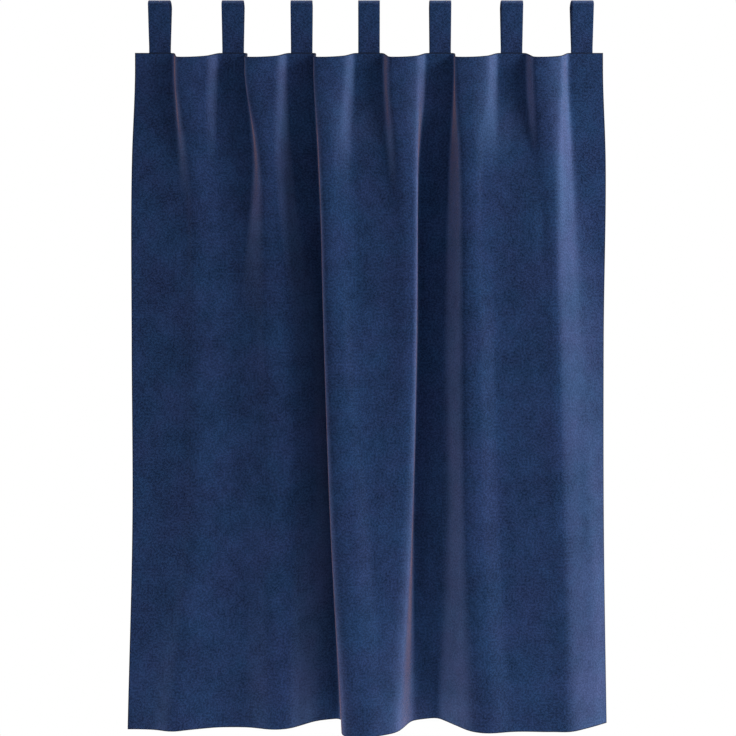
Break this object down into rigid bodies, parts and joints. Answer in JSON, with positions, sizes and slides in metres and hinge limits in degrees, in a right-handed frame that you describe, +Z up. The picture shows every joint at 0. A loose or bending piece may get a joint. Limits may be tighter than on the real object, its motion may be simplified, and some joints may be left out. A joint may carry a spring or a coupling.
{
  "type": "tab top velvet curtain",
  "caption": "Dark blue velvet curtain panel that hangs in soft uneven folds from loops sewn along its top edge, to slide on a round rod.",
  "frame": {"origin": "where the middle tab rests on top of its rod", "axes": "+X along the rod to the right as seen from the front, -Y to the front of the cloth, +Z up"},
  "size_m": [1.1596, 0.1417, 1.7505],
  "materials": {
    "panel_velvet": "short cut pile, soft sheen at the folds",
    "tab_velvet": "short cut pile, soft sheen"
  },
  "bodies": {
    "root": {"drape_panel": "panel_velvet", "tab_1": "tab_velvet", "tab_2": "tab_velvet", "tab_3": "tab_velvet", "tab_4": "tab_velvet", "tab_5": "tab_velvet", "tab_6": "tab_velvet", "tab_7": "tab_velvet"}
  },
  "joints": []
}
